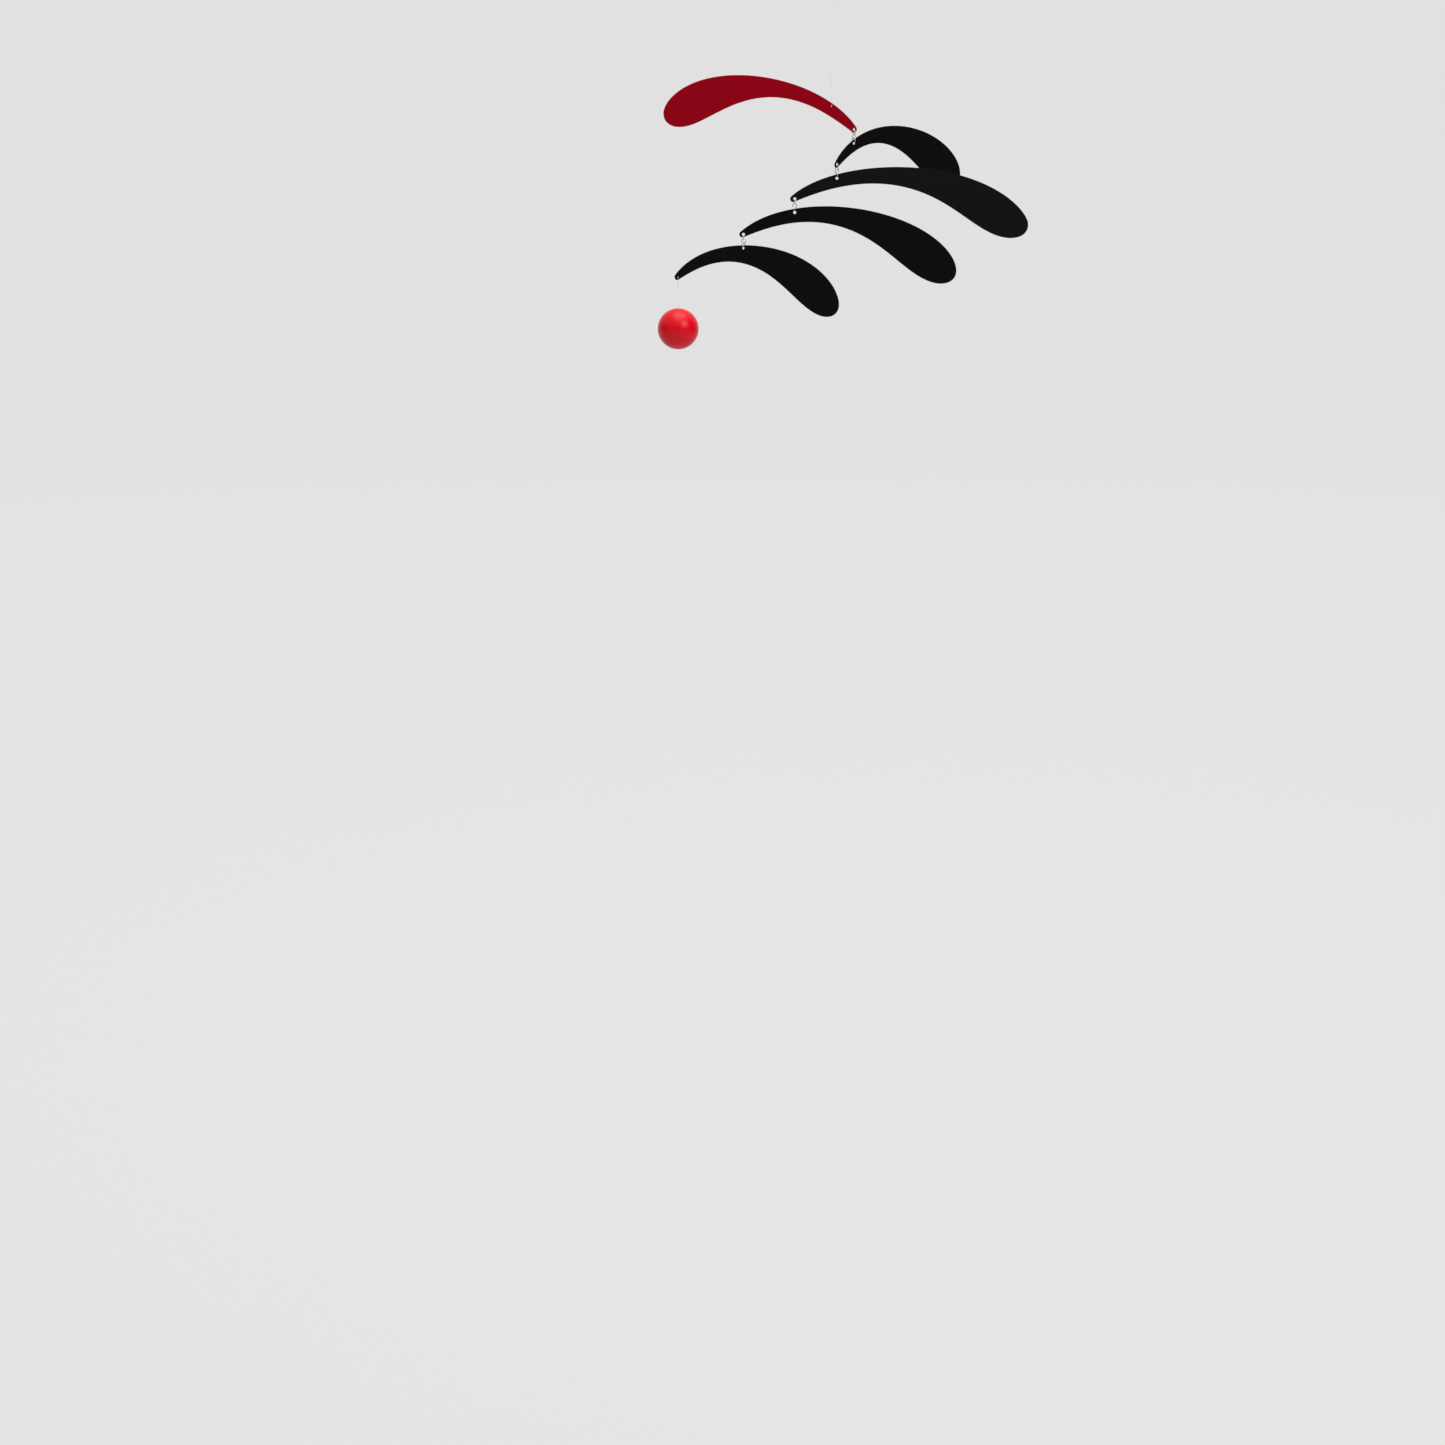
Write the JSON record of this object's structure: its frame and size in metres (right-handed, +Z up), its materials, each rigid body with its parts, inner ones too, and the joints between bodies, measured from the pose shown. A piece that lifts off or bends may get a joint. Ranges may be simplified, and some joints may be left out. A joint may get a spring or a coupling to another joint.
{
  "type": "hanging mobile",
  "caption": "Hanging mobile of curved sheet metal blades in a stair, joined by small steel rings, with a ball on a thread below the last one.",
  "frame": {"origin": "top of the thread's hanging loop, where a hook or ceiling fitting holds it", "axes": "+Z up along the thread, +X to the right of the stair as pictured, +Y away from the viewer"},
  "size_m": [0.5652, 0.4429, 0.5414],
  "materials": {
    "red_paint": "matt dark red",
    "black_paint": "matt black",
    "ring_steel": "bright",
    "nylon_line": "clear",
    "ball_lacquer": "satin red lacquer"
  },
  "bodies": {
    "red_tier": {"hanging_loop": "nylon_line", "hanging_thread": "nylon_line", "red_blade_tie": "nylon_line", "red_blade": "red_paint", "link_1_ring_1": "ring_steel", "link_1_ring_2": "ring_steel"},
    "black_tier_1": {"link_1_ring_3": "ring_steel", "black_blade_1": "black_paint", "link_2_ring_1": "ring_steel", "link_2_ring_2": "ring_steel"},
    "black_tier_2": {"link_2_ring_3": "ring_steel", "black_blade_2": "black_paint", "link_3_ring_1": "ring_steel", "link_3_ring_2": "ring_steel"},
    "black_tier_3": {"link_3_ring_3": "ring_steel", "black_blade_3": "black_paint", "link_4_ring_1": "ring_steel", "link_4_ring_2": "ring_steel"},
    "black_tier_4": {"link_4_ring_3": "ring_steel", "black_blade_4": "black_paint", "ball_tie": "nylon_line", "ball_thread": "nylon_line", "ball": "ball_lacquer"}
  },
  "joints": [
    {"name": "black_tier_1_turn", "type": "hinge", "parent": "red_tier", "child": "black_tier_1", "pos_m": [0.03467, 0.03233, -0.21965], "axis": [0, 0, 1], "range_deg": [-50, 50]},
    {"name": "black_tier_2_turn", "type": "hinge", "parent": "black_tier_1", "child": "black_tier_2", "pos_m": [0.00882, 0.00557, -0.27085], "axis": [0, 0, 1], "range_deg": [-35, 28]},
    {"name": "black_tier_3_turn", "type": "hinge", "parent": "black_tier_2", "child": "black_tier_3", "pos_m": [-0.05446, -0.00788, -0.32115], "axis": [0, 0, 1], "range_deg": [-43, 60]},
    {"name": "black_tier_4_turn", "type": "hinge", "parent": "black_tier_3", "child": "black_tier_4", "pos_m": [-0.13114, 0.00017, -0.37425], "axis": [0, 0, 1], "range_deg": [-33, 70]}
  ]
}
